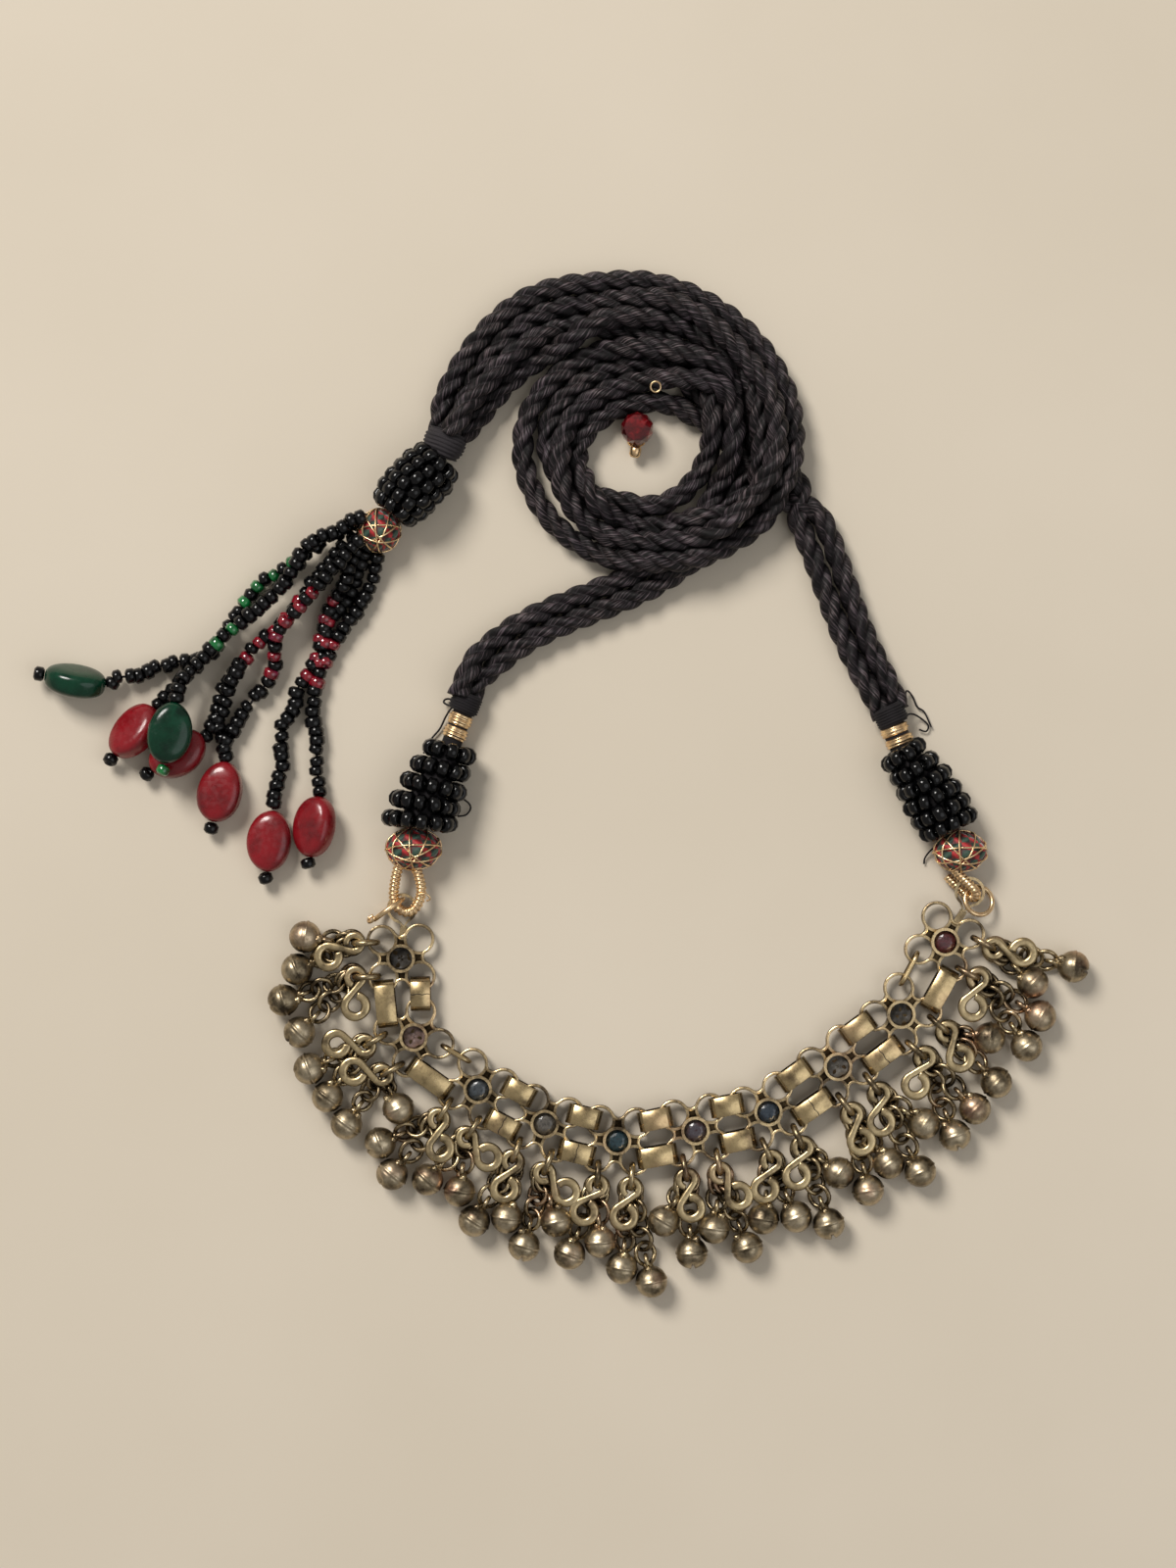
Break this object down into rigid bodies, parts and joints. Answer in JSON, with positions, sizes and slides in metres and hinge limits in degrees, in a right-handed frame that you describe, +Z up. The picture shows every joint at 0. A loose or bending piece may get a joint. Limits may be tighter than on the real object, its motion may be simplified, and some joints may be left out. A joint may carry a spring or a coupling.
{
  "type": "choker necklace",
  "caption": "Collar of linked wire flowers hung with bells, on twisted rope with beaded ends, wound in a coil beside a bead tassel",
  "frame": {"origin": "middle of the underside of all that isn't rope, on the surface that the necklace lies on", "axes": "+Z up from the surface, +Y from the flower chain towards the coil, +X to the right seen from above"},
  "size_m": [0.2312, 0.2234, 0.0125],
  "materials": {
    "old_silver": "antiqued nickel silver",
    "gold_wire": "bright gold-coloured wire",
    "satin_rope": "black satin with aubergine sheen",
    "black_glass": "glossy seed beads",
    "green_bead": "glossy",
    "red_bead": "glossy",
    "plaited_thread": "red and green plait under wire",
    "black_thread": "matt thread",
    "stone_glass": "dark cut glass",
    "slider_glass": "dark red glass"
  },
  "bodies": {
    "root": {"flower_01": "old_silver", "flower_02": "old_silver", "flower_03": "old_silver", "flower_04": "old_silver", "flower_05": "old_silver", "flower_06": "old_silver", "flower_07": "old_silver", "flower_08": "old_silver", "flower_09": "old_silver", "flower_10": "old_silver", "links_01_02": "old_silver", "links_02_03": "old_silver", "links_03_04": "old_silver", "links_04_05": "old_silver", "links_05_06": "old_silver", "links_06_07": "old_silver", "links_07_08": "old_silver", "links_08_09": "old_silver", "links_09_10": "old_silver", "drops_01_02": "old_silver", "drops_03_04": "old_silver", "drops_05_06": "old_silver", "drops_07_08": "old_silver", "drops_09_10": "old_silver", "oval_bead_1": "green_bead", "oval_bead_2": "red_bead", "oval_bead_3": "red_bead", "oval_bead_4": "green_bead", "oval_bead_5": "red_bead", "oval_bead_6": "red_bead", "oval_bead_7": "red_bead", "bead_sleeve_left": "black_glass", "wrapped_bead_left": "plaited_thread", "thread_binding_left": "black_thread", "bead_sleeve_right": "black_glass", "wrapped_bead_right": "plaited_thread", "thread_binding_right": "black_thread", "bead_sleeve_tassel": "black_glass", "wrapped_bead_tassel": "plaited_thread", "thread_binding_tassel": "black_thread", "wire_collar_left": "gold_wire", "wire_collar_right": "gold_wire", "rope_left_a": "satin_rope", "rope_left_b": "satin_rope", "rope_right_a": "satin_rope", "rope_right_b": "satin_rope", "rope_tassel_a": "satin_rope", "rope_tassel_b": "satin_rope", "rope_tassel_c": "satin_rope", "rope_tassel_d": "satin_rope", "stones": "stone_glass", "gold_ring_left": "gold_wire", "gold_ring_right": "gold_wire", "wire_loop_left": "gold_wire", "wire_loop_right": "gold_wire", "tassel_strings": "black_glass", "slider_bead": "slider_glass", "coil": "satin_rope"}
  },
  "joints": []
}
